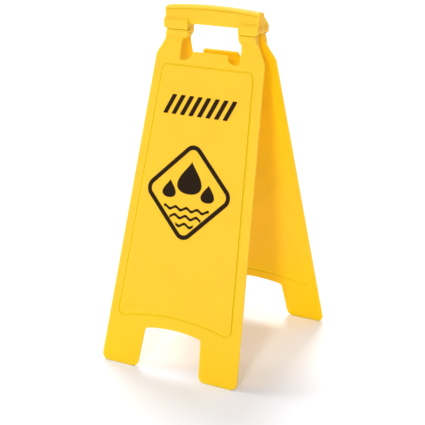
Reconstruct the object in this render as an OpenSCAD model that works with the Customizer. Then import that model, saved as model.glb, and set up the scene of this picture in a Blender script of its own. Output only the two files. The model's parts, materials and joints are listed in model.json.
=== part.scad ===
// Folding A-frame floor sign: two identical moulded panels hung on pins from one carry handle.
// Millimetres, +Z up, floor at z = 0, the front panel faces -Y, drawn open.
// A panel is drawn flat in (u, v, w): u across, v up the slope from the floor, w out of its outer face.

/* [Panel] */
// Width across the feet
foot_span = 280; // [230:1:340]
// Width across the shoulders
shoulder_span = 218; // [206:1:230]
// Thickness of the moulded sheet
sheet_t = 4; // [3:0.1:6]
// Rounding of the edges of the sheet and of its field
edge_r = 1.2; // [0.4:0.1:1.4]
// Lean of an open panel from the vertical, in degrees
lean = 15.9; // [12:0.1:20]
// Height of the outer shoulders above the floor of the hand opening
shoulder_rise = 8.5; // [0:0.5:16]
// Rounding of the outer shoulders
shoulder_r = 22; // [8:1:30]
// Distance from the sides of the panel to the middle of the groove round its field
rim_w = 18.5; // [12:0.5:26]
// Rise of the field that carries the print, and depth of the hollow behind it
field_d = 1.2; // [0.6:0.1:1.4]
// Width of the groove round the field
groove_w = 3; // [1.5:0.1:4]
// Depth of that groove
groove_d = 1.2; // [0.3:0.1:1.4]
// How much wider the hollow behind the field is
field_grow = 5.5; // [3:0.5:8]
// Corner rounding of the field
field_r = 11; // [4:1:18]
// Height of the lower corners of the field up the slope
field_foot = 85; // [82:1:140]
// Rise of the arched lower edge of the field
field_arch = 16; // [6:1:30]

/* [Feet] */
// Width of the gap between the feet at the floor
foot_gap = 127; // [90:1:150]
// Width of the gap between the feet at its top corners
foot_gap_top = 115; // [80:1:125]
// Height of the top corners of that gap up the slope
foot_h = 73; // [50:1:75]
// Rise of the arched top of that gap
foot_arch = 6; // [3:1:8]
// Rounding of the foot corners
foot_r = 13; // [6:1:18]
// Rounding of the top corners of the gap
foot_gap_r = 7; // [3:1:12]

/* [Arms and tab] */
// Distance up the slope from the shoulder to the hinge axis
arm_l = 66; // [58:1:90]
// Width across the two arms at the neck
neck_span = 175; // [170:1:184]
// Distance down the slope from the hinge axis to the neck
neck_drop = 20.5; // [16:0.5:26]
// Rounding of the neck
neck_r = 45; // [20:1:60]
// Width of an arm at its waist
waist_w = 27.5; // [22:0.5:29]
// Distance down the slope from the hinge axis to the waist
waist_drop = 31; // [27:0.5:36]
// Height over which an arm widens from its waist to its housing
flare_h = 9; // [7:0.5:12]
// Rounding of that widening
flare_r = 6; // [3:0.5:8]
// Width of the hand opening between the arms at its floor
opening_span = 120; // [104:1:124]
// Height of the tab above the floor of the hand opening
tab_h = 16.5; // [8:0.5:20]
// Width of the tab at its top edge
tab_span = 68; // [50:1:72]
// Width of the tab at its foot
tab_foot_span = 80; // [76:1:90]
// Rounding where the tab meets the floor of the opening
tab_side_r = 14; // [6:1:16]
// Height of the lip along the tab's inner top edge
lip_h = 6; // [4:0.5:8]
// How far the lip stands out from the inner face
lip_proud = 2.2; // [1.2:0.1:3]
// Gap left between a lip and the middle plane when the sign is closed
close_gap = 0.9; // [0.4:0.1:2]

/* [Hinge] */
// Height of the hinge axes above the floor when open
hinge_h = 597; // [520:1:700]
// Diameter of the barrel on top of each arm
barrel_d = 15; // [13:0.5:18]
// Gap between a barrel and its pocket
barrel_gap = 0.5; // [0.3:0.1:1]
// Wall between the front and the rear pockets
web_t = 3; // [2:0.5:6]
// Front and rear wall of a hinge housing
housing_wall = 5; // [4:0.1:7]
// Outer end wall of a hinge housing
end_wall = 5.5; // [4:0.1:8]
// Inner end wall of a hinge housing
inner_wall = 5; // [4:0.5:8]
// How far the housing skirts reach below the hinge axis
skirt_drop = 12; // [10.5:0.5:14]
// Rounding of the lower edge of a skirt
skirt_r = 3.5; // [1:0.5:3.5]
// Gap between a skirt and the arm that stops on it
stop_gap = 0.3; // [0.2:0.1:0.8]
// Height of the thick band on an arm below the skirt
band_h = 10.5; // [8:0.5:14]
// How far the band stands back from the face of the housing
band_step = 2; // [1.5:0.5:3.5]
// Height over which the band sweeps back to the sheet
sweep_h = 7; // [6.5:0.5:12]
// Rounding of that sweep
sweep_r = 8; // [4:0.5:8]
// Diameter of a hinge pin
pin_d = 6; // [4:0.1:7]
// Running clearance of a barrel on its pin, on the radius
pin_run = 0.06; // [0.03:0.01:0.1]
// Clearance of a pin in the handle, on the radius
pin_fit = 0.02; // [0.01:0.01:0.05]
// Depth of the blind seat for the tip of a pin
pin_seat = 3.5; // [2:0.5:3.5]
// Diameter of a pin head
head_d = 13; // [8:0.5:14]
// Thickness of a pin head in its counterbore
head_t = 1.6; // [1:0.1:2]
// Rise of the domed face of a pin head
head_dome = 0.8; // [0.4:0.1:1.5]

/* [Handle] */
// Length of the handle
handle_l = 187; // [184:1:192]
// Distance from the middle to the inner end of a long housing
long_inner = 45; // [40:1:50]
// Distance from the middle to the inner end of a short housing
short_inner = 56; // [52:1:64]
// Front-to-back width of the grip
grip_w = 22; // [18:1:24]
// How far the grip stands in front of the middle plane
grip_shift = 5.5; // [0:0.5:6]
// Height of the grip's crown above the hinge axis
grip_rise = 33; // [30:1:38]
// Drop of the grip's lower edge below the hinge axis
grip_drop = 0.5; // [0:0.5:4]
// Rise of the crown from the ends of the grip to its middle
crown = 5; // [2:0.5:8]
// Height of the rounded top of the grip
cap_h = 5.5; // [3:0.5:8]
// Width of the shadow groove under that top
shadow_w = 1.8; // [0.8:0.1:2.5]
// Depth of the shadow groove
shadow_d = 1.2; // [0.3:0.1:1.6]
// Rounding of the lower ends of the handle, seen from the front
end_r = 8; // [4:0.5:9]
// Rounding of the upper ends of the handle, seen from the front
top_r = 5; // [3:0.5:8]
// Rounding of the handle's upright corners, seen from above
corner_r = 2.5; // [1:0.5:6]
// Height of the widest part of a housing above the hinge axis
housing_rise = 2.5; // [0:0.5:4]
// Height over which a housing slopes back to the grip
housing_slope = 16; // [14:0.5:18]
// Rounding of the widest part of a housing
housing_r = 6; // [3:0.5:8]
// Wall of the cored grip
grip_wall = 3; // [2:0.5:4]
// Depth of the cores in the underside of the grip
core_h = 19; // [10:1:20]
// Number of cores
core_n = 4; // [2:1:6]

/* [Hidden] */
$fn = 64;
arc_step = 12;
arch_steps = 12;
edge_steps = 2;
crown_fn = 1440;
over = 1;
sheet_yellow = "#FDD23F";
pin_yellow = "#F8C430";
// Outer radius and pocket of a barrel, and the places of the two hinge axes
barrel_r = barrel_d / 2;
pocket_r = barrel_r + barrel_gap;
axis_y = pocket_r + web_t / 2;
housing_y = axis_y + pocket_r + housing_wall;
band_y = housing_y - band_step;
handle_x = handle_l / 2;
pocket_out = handle_x - end_wall;
// The left arm of each panel takes a long housing and the right arm a short one
arms = [[-1, long_inner], [1, short_inner]];
// Closed panels hang upright, a lip and its gap away from the middle plane
hinge_proud = axis_y - sheet_t - lip_proud - close_gap;
spread = axis_y + (hinge_h * sin(lean) - hinge_proud) / cos(lean);
hinge_v = (spread - axis_y) * sin(lean) + hinge_h * cos(lean);
// Heights up the slope of a panel
shoulder_v = hinge_v - arm_l;
neck_v = hinge_v - neck_drop;
waist_v = hinge_v - waist_drop;
tab_v = shoulder_v + tab_h;
field_top = shoulder_v - rim_w / 2;
// Levels of the arm heads in the open sign
skirt_z = hinge_h - skirt_drop;
band_top = skirt_z - stop_gap;
band_foot = band_top - band_h;
sweep_foot = band_foot - sweep_h;
crown_z = hinge_h + grip_rise;
end_z = crown_z - crown;
grip_z = hinge_h - grip_drop;
grip_back = grip_w / 2 - grip_shift;

// Unit vector of p
function unit(p) = p / norm(p);
// Position part of a corner [x, y, radius]
function xy(c) = [c[0], c[1]];
// Points of the rounding at corner b between corners a and c, or b alone on a straight line
function corner(a, b, c) =
    let (p = unit(xy(a) - xy(b)), q = unit(xy(c) - xy(b)), half = acos(p * q) / 2)
    let (mid = xy(b) + unit(p + q) * b[2] / sin(half), s = xy(b) + p * b[2] / tan(half) - mid)
    let (turn = (cross(p, q) > 0 ? -1 : 1) * (180 - 2 * half), steps = round(abs(turn) / arc_step) + 1)
    norm(p + q) == 0 ? [xy(b)] : [for (i = [0 : steps]) let (t = turn * i / steps)
        mid + [s[0] * cos(t) - s[1] * sin(t), s[0] * sin(t) + s[1] * cos(t)]];
// Closed outline with each corner rounded by its own radius
function rounded(cs) =
    let (n = len(cs))
    [for (i = [0 : n - 1]) each cs[i][2] > 0
        ? corner(cs[(i + n - 1) % n], cs[i], cs[(i + 1) % n]) : [xy(cs[i])]];
// Corners moved inwards by d, for a counter-clockwise outline
function inset(cs, d) =
    let (n = len(cs))
    [for (i = [0 : n - 1])
        let (e = unit(xy(cs[i]) - xy(cs[(i + n - 1) % n])), f = unit(xy(cs[(i + 1) % n]) - xy(cs[i])))
        let (m = [-e[1], e[0]], k = [-f[1], f[0]], p = xy(cs[i]) + (m + k) * d / (1 + m * k))
        [p[0], p[1], cs[i][2] > 0 ? max(cs[i][2] - sign(cross(e, f)) * d, 0) : 0]];
// Arched edge from -half to half at height v, with its end corners rounded by r
function arch(half, v, rise, r) =
    let (big = (half * half + rise * rise) / (2 * rise), a = asin(half / big))
    [for (i = [0 : arch_steps]) let (t = a * (2 * i / arch_steps - 1))
        [big * sin(t), v + rise - big + big * cos(t), abs(t) == a ? r : 0]];
// Half-width of the panel at height v up the slope
function edge_u(v) = (foot_span - (foot_span - shoulder_span) * v / shoulder_v) / 2;
// Depth of the sheet's outer and inner faces at height z in the open sign
function outer_y(z) = z * tan(lean) - spread;
function inner_y(z) = outer_y(z) + sheet_t / cos(lean);

// Corners of an arm [side, inner end], from its outer shoulder round to the hand opening
function arm_corners(arm) = [for (c = [
    [edge_u(shoulder_v + shoulder_rise), shoulder_v + shoulder_rise, shoulder_r],
    [neck_span / 2, neck_v, neck_r],
    [neck_span / 2, hinge_v, 0],
    [arm[1], hinge_v, 0],
    [arm[1], waist_v + flare_h, flare_r / 2],
    [neck_span / 2 - waist_w, waist_v, flare_r],
    [opening_span / 2, shoulder_v, sheet_t]]) [arm[0] * c[0], c[1], c[2]]];
function reversed(cs) = [for (i = [len(cs) - 1 : -1 : 0]) cs[i]];
panel_corners = concat(
    [[foot_gap / 2, 0, foot_r], [foot_span / 2, 0, foot_r]],
    arm_corners(arms[1]),
    [[tab_foot_span / 2, shoulder_v, tab_side_r], [tab_span / 2, tab_v, sheet_t],
     [-tab_span / 2, tab_v, sheet_t], [-tab_foot_span / 2, shoulder_v, tab_side_r]],
    reversed(arm_corners(arms[0])),
    [[-foot_span / 2, 0, foot_r], [-foot_gap / 2, 0, foot_r]],
    arch(foot_gap_top / 2, foot_h, foot_arch, foot_gap_r));
field_corners = concat(
    arch(edge_u(field_foot) - rim_w, field_foot, field_arch, field_r),
    [[edge_u(field_top) - rim_w, field_top, field_r], [rim_w - edge_u(field_top), field_top, field_r]]);

// Stands a flat panel up in its open place
module stand() { translate([0, -spread, 0]) rotate([90 - lean, 0, 0]) children(); }
// Extrudes a (y, z) profile along X between a and b
module along_x(a, b) {
    translate([min(a, b), 0, 0]) rotate([90, 0, 90]) linear_extrude(abs(b - a)) children();
}
// Slab of a flat panel between two depths
module slab(w0, w1) { translate([0, 0, w0]) linear_extrude(w1 - w0) children(); }
// Repeats the front half at the rear, turned half round
module both_sides() { for (a = [0, 180]) rotate([0, 0, a]) children(); }

// Slab between two depths, with a half-round rim lofted through inset outlines
module rounded_slab(cs, w0, w1) {
    turns = [for (i = [0 : edge_steps]) 90 * i / edge_steps];
    levels = concat([for (a = turns) [edge_r * (1 - sin(a)), w0 + edge_r * (1 - cos(a))]],
        [for (a = turns) [edge_r * (1 - cos(a)), w1 - edge_r * (1 - sin(a))]]);
    rings = [for (l = levels) [for (p = rounded(inset(cs, l[0]))) [p[0], p[1], l[1]]]];
    n = len(rings[0]);
    all = n * len(rings);
    slab(w0, w1) polygon(rounded(inset(cs, edge_r)));
    polyhedron([for (ring = rings) each ring], [for (k = [0 : n : all - n], i = [0 : n - 1])
        let (j = (i + 1) % n, m = (k + n) % all) [k + i, m + i, m + j, k + j]]);
}

// The sheet up to the arm heads, with its raised field, groove, hollow back and tab lip
module sheet() {
    arm_cut = sweep_foot / cos(lean);
    difference() {
        rounded_slab(panel_corners, -sheet_t, 0);
        translate([-foot_span, arm_cut, -2 * sheet_t]) cube([2 * foot_span, arm_l, 3 * sheet_t]);
        slab(-groove_d, over) polygon(rounded(inset(field_corners, -groove_w / 2)));
        slab(-sheet_t - over, field_d - sheet_t) polygon(rounded(inset(field_corners, -field_grow)));
    }
    rounded_slab(inset(field_corners, groove_w / 2), -sheet_t / 2, field_d);
    slab(-sheet_t - lip_proud, -sheet_t / 2) intersection() {
        polygon(rounded(panel_corners));
        translate([-tab_foot_span / 2, tab_v - lip_h]) square([tab_foot_span, lip_h]);
    }
}

// Side profile of the thick band that stops each arm under its housing
module band_profile() {
    foot = sweep_foot - sweep_h;
    polygon(rounded([[inner_y(foot), foot, 0], [outer_y(foot), foot, 0],
        [outer_y(sweep_foot), sweep_foot, sweep_r], [-band_y, band_foot, sweep_r],
        [-band_y, band_top, edge_r], [inner_y(band_top), band_top, 0]]));
}

// Side profile of the neck and barrel inside a housing
module barrel_profile() {
    foot = band_top - over;
    inner = hinge_proud + sheet_t;
    translate([-axis_y, hinge_h]) circle(barrel_r);
    polygon([[-axis_y, hinge_h], [-axis_y - barrel_r, hinge_h], [-axis_y - barrel_r, foot],
        [inner_y(foot), foot], [inner * cos(lean) - axis_y, hinge_h - inner * sin(lean)]]);
}

// Turns the Z axis onto the front hinge axis, pointing away from the middle on side s
module on_axis(s) { translate([0, -axis_y, hinge_h]) rotate([0, s * 90, 0]) children(); }
// Bore of radius r along that axis, from a to b away from the middle
module bore(s, a, b, r) { on_axis(s) translate([0, 0, a]) cylinder(h = b - a, r = r); }

module panel() {
    difference() {
        union() {
            stand() sheet();
            intersection() {
                along_x(-shoulder_span / 2, shoulder_span / 2) band_profile();
                stand() slab(-housing_y, housing_y) polygon(rounded(panel_corners));
            }
            for (arm = arms)
                along_x(arm[0] * (arm[1] + inner_wall + barrel_gap), arm[0] * (pocket_out - barrel_gap))
                    barrel_profile();
        }
        for (arm = arms) bore(arm[0], arm[1], handle_x, pin_d / 2 + pin_run);
        translate([-foot_span, -2 * spread, -spread]) cube([2 * foot_span, 2 * spread, spread]);
    }
}

module front_panel() { color(sheet_yellow) panel(); }
module rear_panel() { color(sheet_yellow) rotate([0, 0, 180]) panel(); }

// Section of the grip, its crown at radius r from the centre of the arched top
module grip_section(r) {
    cap_r = (grip_w * grip_w / 4 + cap_h * cap_h) / (2 * cap_h);
    difference() {
        intersection() {
            translate([r - 2 * grip_rise, -grip_w / 2]) square([2 * grip_rise, grip_w]);
            union() {
                translate([r - cap_r, 0]) circle(cap_r);
                translate([r - 2 * grip_rise, -grip_w]) square([2 * grip_rise - cap_r, 2 * grip_w]);
            }
        }
        for (side = [-1, 1])
            translate([r - cap_h - shadow_w, side * grip_w / 2 - shadow_d]) square([shadow_w, 2 * shadow_d]);
    }
}

// Arched grip over the whole length, rounded at its ends and flat below
module grip() {
    arc_r = (handle_x * handle_x + crown * crown) / (2 * crown);
    sweep = 2 * asin((handle_x + over) / arc_r);
    translate([0, -grip_shift, 0]) intersection() {
        translate([0, 0, crown_z - arc_r]) rotate([90, 0, 0]) rotate([0, 0, 90 - sweep / 2])
            rotate_extrude(angle = sweep, $fn = crown_fn) grip_section(arc_r);
        translate([0, 0, grip_z]) linear_extrude(2 * grip_rise) rounded_plan(handle_l, grip_w);
    }
}

// Rectangle with rounded corners, centred
module rounded_plan(l, d) {
    polygon(rounded([for (c = [[-1, -1], [1, -1], [1, 1], [-1, 1]]) [c[0] * l / 2, c[1] * d / 2, corner_r]]));
}

// Front half of a housing's side profile, with the skirt that stops the arm
module housing_profile() {
    pocket_y = axis_y + pocket_r;
    pocket_z = hinge_h - pocket_r;
    shoulder_z = hinge_h + housing_rise;
    polygon(rounded([[0, pocket_z, 0], [0, shoulder_z + housing_slope, 0],
        [-grip_back, shoulder_z + housing_slope, 0], [-housing_y, shoulder_z, housing_r],
        [-housing_y, skirt_z, skirt_r], [-pocket_y, skirt_z, 0], [-pocket_y, pocket_z, 0]]));
}

// Outline of the handle seen from the front, just above its arched top
module handle_outline() {
    ridge = end_z + 2 * crown;
    polygon(rounded([[-handle_x, skirt_z, end_r], [handle_x, skirt_z, end_r],
        [handle_x, end_z, top_r], [0, ridge, 0], [-handle_x, end_z, top_r]]));
}

// Pocket that a barrel turns in, open below
module pocket_profile() {
    translate([-axis_y, hinge_h]) circle(pocket_r);
    translate([-axis_y - pocket_r, skirt_z - over]) square([2 * pocket_r, skirt_drop + over]);
}

module carry_handle() {
    core_l = (2 * (long_inner - grip_wall) + grip_wall) / core_n;
    color(sheet_yellow) difference() {
        intersection() {
            union() {
                grip();
                intersection() {
                    both_sides() for (arm = arms)
                        along_x(arm[0] * arm[1], arm[0] * handle_x) housing_profile();
                    translate([0, 0, skirt_z]) linear_extrude(2 * grip_rise)
                        rounded_plan(handle_l, 2 * housing_y);
                }
            }
            translate([0, housing_y, 0]) rotate([90, 0, 0]) linear_extrude(2 * housing_y) handle_outline();
        }
        both_sides() for (arm = arms) {
            along_x(arm[0] * (arm[1] + inner_wall), arm[0] * pocket_out) pocket_profile();
            bore(arm[0], arm[1] + inner_wall - pin_seat, handle_x + over, pin_d / 2 + pin_fit);
            bore(arm[0], handle_x - head_t, handle_x + over, head_d / 2 + pin_fit);
        }
        for (i = [0 : core_n - 1])
            translate([grip_wall - long_inner + i * core_l, grip_wall - grip_w + grip_back, grip_z - over])
                cube([core_l - grip_wall, grip_w - 2 * grip_wall, core_h + over]);
    }
}

// Turned half-section of a pin: tip in the inner wall of its housing, low domed head outside
module pin_section(inner) {
    tip = inner + inner_wall - pin_seat + stop_gap;
    dome_r = (head_d * head_d / 4 + head_dome * head_dome) / (2 * head_dome);
    translate([0, tip]) square([pin_d / 2, handle_x - tip]);
    translate([0, handle_x - head_t]) square([head_d / 2, head_t]);
    intersection() {
        translate([0, handle_x + head_dome - dome_r]) circle(dome_r);
        translate([0, handle_x]) square([head_d / 2, head_dome]);
    }
}

module hinge_pin(s, inner) { color(pin_yellow) on_axis(s) rotate_extrude() pin_section(inner); }

module hinge_pin_front_left() { hinge_pin(-1, long_inner); }
module hinge_pin_front_right() { hinge_pin(1, short_inner); }
module hinge_pin_rear_left() { rotate([0, 0, 180]) hinge_pin(1, short_inner); }
module hinge_pin_rear_right() { rotate([0, 0, 180]) hinge_pin(-1, long_inner); }

front_panel();
rear_panel();
carry_handle();
hinge_pin_front_left();
hinge_pin_front_right();
hinge_pin_rear_left();
hinge_pin_rear_right();
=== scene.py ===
import json
import math
import bmesh
import bpy
from mathutils import Matrix, Vector


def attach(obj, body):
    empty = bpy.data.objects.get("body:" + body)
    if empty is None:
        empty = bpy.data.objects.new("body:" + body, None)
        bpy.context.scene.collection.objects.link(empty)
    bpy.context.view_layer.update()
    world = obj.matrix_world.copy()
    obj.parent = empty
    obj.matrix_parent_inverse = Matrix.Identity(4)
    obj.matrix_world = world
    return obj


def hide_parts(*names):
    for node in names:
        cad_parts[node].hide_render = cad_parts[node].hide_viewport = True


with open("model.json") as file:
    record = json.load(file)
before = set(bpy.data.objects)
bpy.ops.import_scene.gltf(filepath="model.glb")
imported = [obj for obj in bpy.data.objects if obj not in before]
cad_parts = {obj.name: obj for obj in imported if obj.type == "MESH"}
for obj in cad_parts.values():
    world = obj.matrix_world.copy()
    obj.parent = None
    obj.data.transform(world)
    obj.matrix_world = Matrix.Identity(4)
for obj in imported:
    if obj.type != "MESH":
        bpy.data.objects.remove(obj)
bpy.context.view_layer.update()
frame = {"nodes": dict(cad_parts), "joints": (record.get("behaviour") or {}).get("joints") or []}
scene = bpy.context.scene
mm = 0.001
print("frame loaded with", len(frame["nodes"]), "nodes")


# Colours are written as sRGB hex and used as linear values
def linear(hexColour):
    parts = [int(hexColour[i:i + 2], 16) / 255 for i in (1, 3, 5)]
    return [c / 12.92 if c <= 0.04045 else ((c + 0.055) / 1.055) ** 2.4 for c in parts] + [1]


# Adds one node: sockets takes numbers, colours or the outputs to link, settings are the node's own
def addNode(tree, kind, sockets, **settings):
    node = tree.nodes.new("ShaderNode" + kind)
    for name, value in settings.items():
        setattr(node, name, value)
    for name, value in sockets.items():
        if isinstance(value, bpy.types.NodeSocket):
            tree.links.new(value, node.inputs[name])
        else:
            node.inputs[name].default_value = value
    return node


# A new material with its tree, its shader and a vector in metres that stays with the piece
def startMaterial(name, fixed):
    material = bpy.data.materials.new(name)
    material.use_nodes = True
    tree = material.node_tree
    shader = tree.nodes["Principled BSDF"]
    for socket, value in fixed.items():
        shader.inputs[socket].default_value = value
    place = addNode(tree, "TexCoord", {}).outputs["Object"]
    return material, tree, shader, place


# Moulded polypropylene: dull satin and see-through, so light from behind glows deep yellow in the sheet
polypropylene = {
    "clean": "#FAC634", "deep": "#FAC02E",  # the melt drifts between these two
    "drift": 85 * mm,
    "inside": "#FAC700",  # painted bounce light: where the sheets close in on each other, the colour is painted deeper yellow
    "insideReach": 250 * mm,
    "paintedBounceOpenness": (0.55, 0.95),  # the painted bounce light fades out from wholly enclosed to wholly open
    "paintedCornerShade": "#CEBE06",  # painted shade: corners and creases are painted a dull olive where shade falls
    "paintedCornerShadeReach": 8 * mm,
    "grain": 1.4 * mm,  # spark-eroded mould grain, about 0.2 mm on the real sheet, drawn coarse to show
    "grainDepth": 0.02 * mm,
    "edge": 0.6 * mm,  # the mould's own rounding of small edges
    "ior": 1.49,
    "roughness": (0.42, 0.54),
    "roughnessFrom": (0.3, 0.7),  # the part of the drift that sets it
    "specular": 0.2,  # the mould grain breaks up most of the shine
    "seeThrough": 0.5,
    "scatter": (9.0, 8.0, 0.4),  # mm that red, green and blue light travel inside
}


def mouldedPolypropylene(look):
    material, tree, shader, place = startMaterial("moulded_polypropylene", {
        "IOR": look["ior"], "Specular IOR Level": look["specular"], "Subsurface Weight": look["seeThrough"],
        "Subsurface Scale": mm, "Subsurface Radius": look["scatter"]})
    drift = addNode(tree, "TexNoise", {"Vector": place, "Scale": 1 / look["drift"], "Detail": 3})
    melt = addNode(tree, "Mix", {0: drift.outputs["Fac"], "A": linear(look["clean"]),
                                 "B": linear(look["deep"])}, data_type="RGBA")
    # Painted bounce light: a wide occlusion mask paints the sheet deeper yellow where the sheets close in
    bounceOcclusion = addNode(tree, "AmbientOcclusion", {"Distance": look["insideReach"]}, samples=8)
    closed, free = look["paintedBounceOpenness"]
    paintedBounceOpenness = addNode(tree, "MapRange", {"Value": bounceOcclusion.outputs["AO"], "From Min": closed,
                                          "From Max": free})
    sheet = addNode(tree, "Mix", {0: paintedBounceOpenness.outputs["Result"], "A": linear(look["inside"]),
                                  "B": melt.outputs["Result"]}, data_type="RGBA")
    # Painted shade: a short occlusion mask paints corners, creases and grooves olive
    corner = addNode(tree, "AmbientOcclusion", {"Distance": look["paintedCornerShadeReach"]}, samples=8)
    colour = addNode(tree, "Mix", {0: corner.outputs["AO"], "A": linear(look["paintedCornerShade"]),
                                   "B": sheet.outputs["Result"]}, data_type="RGBA")
    grain = addNode(tree, "TexNoise", {"Vector": place, "Scale": 1 / look["grain"], "Detail": 2})
    low, high = look["roughness"]
    least, most = look["roughnessFrom"]
    gloss = addNode(tree, "MapRange", {"Value": drift.outputs["Fac"], "From Min": least, "From Max": most,
                                       "To Min": low, "To Max": high})
    edge = addNode(tree, "Bevel", {"Radius": look["edge"]}, samples=4)
    bump = addNode(tree, "Bump", {"Height": grain.outputs["Fac"], "Distance": look["grainDepth"],
                                  "Normal": edge.outputs["Normal"]})
    tree.links.new(colour.outputs["Result"], shader.inputs["Base Color"])
    tree.links.new(gloss.outputs["Result"], shader.inputs["Roughness"])
    tree.links.new(bump.outputs["Normal"], shader.inputs["Normal"])
    return material


# Screen-printed ink: a thin even black film, a little duller where the mesh left it thin
ink = {
    "full": "#22160A", "thin": "#2A1D10",
    "mesh": 2.2 * mm,  # screen mesh, about 0.1 mm on the real print, drawn coarse to show
    "ior": 1.5,
    "roughness": (0.36, 0.48),
    "specular": 0.08,
}


def screenPrintedInk(look):
    material, tree, shader, place = startMaterial("screen_printed_ink", {
        "IOR": look["ior"], "Specular IOR Level": look["specular"]})
    film = addNode(tree, "TexNoise", {"Vector": place, "Scale": 1 / look["mesh"], "Detail": 2})
    colour = addNode(tree, "Mix", {0: film.outputs["Fac"], "A": linear(look["full"]),
                                   "B": linear(look["thin"])}, data_type="RGBA")
    low, high = look["roughness"]
    gloss = addNode(tree, "MapRange", {"Value": film.outputs["Fac"], "To Min": low, "To Max": high})
    tree.links.new(colour.outputs["Result"], shader.inputs["Base Color"])
    tree.links.new(gloss.outputs["Result"], shader.inputs["Roughness"])
    return material


# Moulded nylon: smoother and deeper in colour than the sheet, with a fine grain on the heads
nylon = {
    "clean": "#F6BA1A", "deep": "#F0B014",
    "cloud": 4 * mm,  # patches of the two shades
    "grain": 0.8 * mm,  # mould grain, about 0.1 mm on a real head, drawn coarse to show
    "grainDepth": 0.02 * mm,
    "ior": 1.53,
    "roughness": 0.34,
    "specular": 0.08,
    "seeThrough": 0.3,
    "scatter": (2.0, 1.0, 0.3),  # mm
}


def mouldedNylon(look):
    material, tree, shader, place = startMaterial("moulded_nylon", {
        "IOR": look["ior"], "Specular IOR Level": look["specular"], "Roughness": look["roughness"],
        "Subsurface Weight": look["seeThrough"], "Subsurface Scale": mm,
        "Subsurface Radius": look["scatter"]})
    cloud = addNode(tree, "TexNoise", {"Vector": place, "Scale": 1 / look["cloud"], "Detail": 2})
    colour = addNode(tree, "Mix", {0: cloud.outputs["Fac"], "A": linear(look["clean"]),
                                   "B": linear(look["deep"])}, data_type="RGBA")
    grain = addNode(tree, "TexNoise", {"Vector": place, "Scale": 1 / look["grain"], "Detail": 1})
    bump = addNode(tree, "Bump", {"Height": grain.outputs["Fac"], "Distance": look["grainDepth"]})
    tree.links.new(colour.outputs["Result"], shader.inputs["Base Color"])
    tree.links.new(bump.outputs["Normal"], shader.inputs["Normal"])
    return material


sheetMaterial = mouldedPolypropylene(polypropylene)
inkMaterial = screenPrintedInk(ink)
pinMaterial = mouldedNylon(nylon)
print("materials ready")


# The mouldings keep the solids' shape, shaded smooth between their sharp edges
mouldings = {
    "weld": 0.002 * mm,
    "flat": math.radians(0.1),
    "sheetSharp": math.radians(50),  # above the steps of the sheet's rounded rim
    "handleSharp": math.radians(28),
}


def mouldedPiece(nodeName, pieceName, body, sharp):
    mesh = bmesh.new()
    mesh.from_mesh(frame["nodes"][nodeName].data)
    bmesh.ops.remove_doubles(mesh, verts=mesh.verts, dist=mouldings["weld"])
    bmesh.ops.dissolve_limit(mesh, angle_limit=mouldings["flat"], verts=mesh.verts, edges=mesh.edges)
    for edge in mesh.edges:
        edge.smooth = len(edge.link_faces) == 2 and edge.calc_face_angle() < sharp
    for face in mesh.faces:
        face.smooth = True
    data = bpy.data.meshes.new(pieceName)
    mesh.to_mesh(data)
    mesh.free()
    piece = bpy.data.objects.new(pieceName, data)
    scene.collection.objects.link(piece)
    data.materials.append(sheetMaterial)
    normals = piece.modifiers.new("even shading", "WEIGHTED_NORMAL")
    normals.keep_sharp = True
    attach(piece, body)
    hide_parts(nodeName)
    return piece


frontSheet = mouldedPiece("front_panel", "front_sheet", "front", mouldings["sheetSharp"])
mouldedPiece("rear_panel", "rear_sheet", "rear", mouldings["sheetSharp"])
mouldedPiece("carry_handle", "handle_moulding", "handle", mouldings["handleSharp"])
for side in ("front_left", "front_right", "rear_left", "rear_right"):
    pin = frame["nodes"]["hinge_pin_" + side]
    pin.data.materials[0] = pinMaterial
print("panels, handle and pins ready")


# The print on both outer faces, in mm on the panel: u across, v up the slope from the floor
artwork = {
    "middle": -5,  # u of the print's centre line
    "film": 0.06,  # ink thickness
    "top": 500,  # the print ends below this
    "bar": {"v": 476, "width": 146, "height": 35, "count": 8, "ink": 0.52, "slant": 16, "round": 1.2},
    "diamond": {"v": 325, "reach": 92, "line": 8, "round": 20},
    "drops": [(0, 351, 58), (-39, 328, 32), (39, 328, 32)],  # u, v and height
    "dropFat": 0.62, "dropPoint": 1.6,  # how wide a drop's belly is and how sharp its tip
    "ripples": [(295, 46), (281, 32), (267, 18)],  # v and half width
    "wave": 2.6, "waveLength": 22, "rippleLine": 5,
}


# Closed loop with its corners rounded
def roundedLoop(corners, radius, steps=8):
    loop = []
    for i, corner in enumerate(corners):
        here = Vector(corner)
        a = (Vector(corners[i - 1]) - here).normalized()
        b = (Vector(corners[(i + 1) % len(corners)]) - here).normalized()
        half = a.angle(b) / 2
        centre = here + (a + b).normalized() * radius / math.sin(half)
        first = here + a * radius / math.tan(half) - centre
        turn = first.angle_signed(here + b * radius / math.tan(half) - centre)
        for k in range(steps + 1):
            loop.append(centre + Matrix.Rotation(-turn * k / steps, 2) @ first)
    return loop


def barLoops(bar, middle):
    pitch = (bar["width"] - bar["slant"]) / (bar["count"] - 1 + bar["ink"])
    for i in range(bar["count"]):
        u = middle - bar["width"] / 2 + i * pitch
        low, high = bar["v"] - bar["height"] / 2, bar["v"] + bar["height"] / 2
        w = pitch * bar["ink"]
        yield roundedLoop([(u, low), (u + w, low), (u + w + bar["slant"], high), (u + bar["slant"], high)],
                          bar["round"])


def diamondLoop(diamond, middle, inset):
    r = diamond["reach"] - inset * math.sqrt(2)
    v = diamond["v"]
    return roundedLoop([(middle + r, v), (middle, v + r), (middle - r, v), (middle, v - r)],
                       diamond["round"] - inset)


def dropLoop(u, v, height, look, steps=40):
    turns = [2 * math.pi * i / steps for i in range(steps)]
    across = [height * look["dropFat"] * math.sin(t) * math.sin(t / 2) ** look["dropPoint"] for t in turns]
    return [Vector((u + a, v + height / 2 * math.cos(t))) for a, t in zip(across, turns)]


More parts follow.
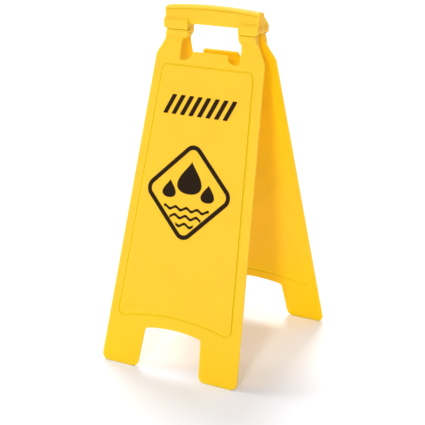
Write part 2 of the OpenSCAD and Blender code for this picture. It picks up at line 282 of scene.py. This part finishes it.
def rippleLoop(v, half, look, middle, steps=32):
    spots = [half * (2 * i / steps - 1) for i in range(steps + 1)]
    height = [look["wave"] * math.cos(2 * math.pi * u / look["waveLength"]) for u in spots]
    line = look["rippleLine"] / 2
    lower = [Vector((middle + u, v + h - line)) for u, h in zip(spots, height)]
    upper = [Vector((middle + u, v + h + line)) for u, h in zip(spots, height)]
    return lower + upper[::-1]


# Open sheets of ink, given their film thickness and laid on the field of one panel
def inkPiece(name, fills, rings, panelPlace, body):
    mesh = bmesh.new()
    for loop in fills:
        mesh.faces.new([mesh.verts.new((p.x * mm, p.y * mm, 0)) for p in loop])
    for outer, inner in rings:
        a = [mesh.verts.new((p.x * mm, p.y * mm, 0)) for p in outer]
        b = [mesh.verts.new((p.x * mm, p.y * mm, 0)) for p in inner]
        for i in range(len(a)):
            mesh.faces.new([a[i - 1], a[i], b[i], b[i - 1]])
    bmesh.ops.recalc_face_normals(mesh, faces=mesh.faces)
    for face in mesh.faces:
        if face.normal.z < 0:
            face.normal_flip()
    mesh.transform(panelPlace)
    data = bpy.data.meshes.new(name)
    mesh.to_mesh(data)
    mesh.free()
    piece = bpy.data.objects.new(name, data)
    scene.collection.objects.link(piece)
    data.materials.append(inkMaterial)
    film = piece.modifiers.new("film", "SOLIDIFY")
    film.thickness = artwork["film"] * mm
    film.offset = 1
    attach(piece, body)


# The field of a panel: the foremost plane of its sheet, from where that plane meets the floor
lean = math.radians(frame["joints"][0]["range_deg"][1])
outward = Vector((0, -math.cos(lean), math.sin(lean)))
fieldReach = max(outward.dot(v.co) for v in frontSheet.data.vertices if v.co.z < artwork["top"] * mm)
frontField = (Matrix.Translation((0, -fieldReach / math.cos(lean), 0))
              @ Matrix.Rotation(math.pi / 2 - lean, 4, "X"))
rearField = Matrix.Rotation(math.pi, 4, "Z") @ frontField

middle = artwork["middle"]
stripes = list(barLoops(artwork["bar"], middle))
diamond = artwork["diamond"]
frameLine = (diamondLoop(diamond, middle, 0), diamondLoop(diamond, middle, diamond["line"]))
wet = [dropLoop(middle + u, v, height, artwork) for u, v, height in artwork["drops"]]
wet += [rippleLoop(v, half, artwork, middle) for v, half in artwork["ripples"]]
for body, place in (("front", frontField), ("rear", rearField)):
    inkPiece(body + "_print_stripes", stripes, [], place, body)
    inkPiece(body + "_print_emblem", wet, [frameLine], place, body)
print("print ready")


# Floor and light: a pale floor in a white tent that is dim low on the right, with four far lamps
studio = {
    "floor": "#F2F5FB", "fibre": "#F4F7FC",
    "fibrePatch": 500 * mm,
    "floorReach": 40.0,  # metres
    "floorRoughness": 0.9, "floorSpecular": 0.1,
    "horizon": 0.38, "zenith": 0.64,
    "dimSide": 0.3, "dimFrom": (0.4, 0.95),  # along +X
    "backGain": 1.2, "backFrom": (-0.2, 0.8),  # along +Y
    "lamps": {  # direction, degrees across, W/m2 and colour
        "back": {"from": (-0.58, 1.01, 1.6), "spread": 22, "power": 1.65, "tint": "#FFFFFF"},
        "front": {"from": (0.67, -2.6, 1), "spread": 8, "power": 1.22, "tint": "#FFFFFF"},
        "left": {"from": (-1, -0.1, 0.5), "spread": 30, "power": 1.3, "tint": "#FFFFFF"},
        "goldCard": {"from": (1, 0.1, 0.2), "spread": 40, "power": 0.35, "tint": "#FFA030"},
    },
}

floorMesh = bpy.data.meshes.new("floor")
far = studio["floorReach"]
floorMesh.from_pydata([(-far, -far, 0), (far, -far, 0), (far, far, 0), (-far, far, 0)], [], [(0, 1, 2, 3)])
floor = bpy.data.objects.new("floor", floorMesh)
scene.collection.objects.link(floor)
# Matt pressed paper: hardly any shine, so the floor takes shadows but mirrors nothing
floorMaterial, floorTree, floorShader, floorPlace = startMaterial("matt_pressed_paper", {
    "Roughness": studio["floorRoughness"], "Specular IOR Level": studio["floorSpecular"]})
paper = addNode(floorTree, "TexNoise", {"Vector": floorPlace, "Scale": 1 / studio["fibrePatch"]})
tint = addNode(floorTree, "Mix", {0: paper.outputs["Fac"], "A": linear(studio["floor"]),
                                  "B": linear(studio["fibre"])}, data_type="RGBA")
floorTree.links.new(tint.outputs["Result"], floorShader.inputs["Base Color"])
floorMesh.materials.append(floorMaterial)

world = bpy.data.worlds.new("tent")
world.use_nodes = True
scene.world = world
sky = world.node_tree
way = addNode(sky, "SeparateXYZ", {"Vector": addNode(sky, "TexCoord", {}).outputs["Generated"]})
rise = addNode(sky, "MapRange", {"Value": way.outputs["Z"], "To Min": studio["horizon"],
                                 "To Max": studio["zenith"]}, interpolation_type="SMOOTHSTEP")
start, end = studio["dimFrom"]
side = addNode(sky, "MapRange", {"Value": way.outputs["X"], "From Min": start, "From Max": end,
                                 "To Min": 1.0, "To Max": studio["dimSide"]},
               interpolation_type="SMOOTHSTEP")
start, end = studio["backFrom"]
behind = addNode(sky, "MapRange", {"Value": way.outputs["Y"], "From Min": start, "From Max": end,
                                   "To Min": 1.0, "To Max": studio["backGain"]},
                 interpolation_type="SMOOTHSTEP")
dimmed = addNode(sky, "Math", {0: rise.outputs["Result"], 1: side.outputs["Result"]}, operation="MULTIPLY")
level = addNode(sky, "Math", {0: dimmed.outputs[0], 1: behind.outputs["Result"]}, operation="MULTIPLY")
sky.links.new(level.outputs[0], sky.nodes["Background"].inputs["Strength"])
sky.nodes["Background"].inputs["Color"].default_value = (1, 1, 1, 1)
for name, look in studio["lamps"].items():
    light = bpy.data.lights.new(name, "SUN")
    light.angle = math.radians(look["spread"])
    light.energy = look["power"]
    light.color = linear(look["tint"])[:3]
    lamp = bpy.data.objects.new(name, light)
    lamp.rotation_euler = Vector(look["from"]).to_track_quat("Z", "Y").to_euler()
    scene.collection.objects.link(lamp)
scene.view_settings.view_transform = "Standard"
print("floor and light ready")


# Camera fitted to the photograph's feet, edges and level lines
view = {
    "azimuth": 30.02, "elevation": 18.31, "roll": -0.18, "distance": 2.32479,
    "target": (-0.00768, 0, 0.25007),
    "focal": 1271.28, "imageWidth": 425,  # pixels
    "sensor": 36,
}

azimuth, elevation = math.radians(view["azimuth"]), math.radians(view["elevation"])
back = Vector((math.sin(azimuth) * math.cos(elevation), -math.cos(azimuth) * math.cos(elevation),
               math.sin(elevation)))
right = Vector((0, 0, 1)).cross(back).normalized()
cameraData = bpy.data.cameras.new("camera")
cameraData.sensor_width = view["sensor"]
cameraData.lens = cameraData.sensor_width * view["focal"] / view["imageWidth"]
camera = bpy.data.objects.new("camera", cameraData)
turned = Matrix((right, back.cross(right), back)).transposed().to_4x4()
camera.matrix_world = (Matrix.Translation(Vector(view["target"]) + back * view["distance"]) @ turned
                       @ Matrix.Rotation(math.radians(view["roll"]), 4, "Z"))
scene.collection.objects.link(camera)
scene.camera = camera
print("camera ready")
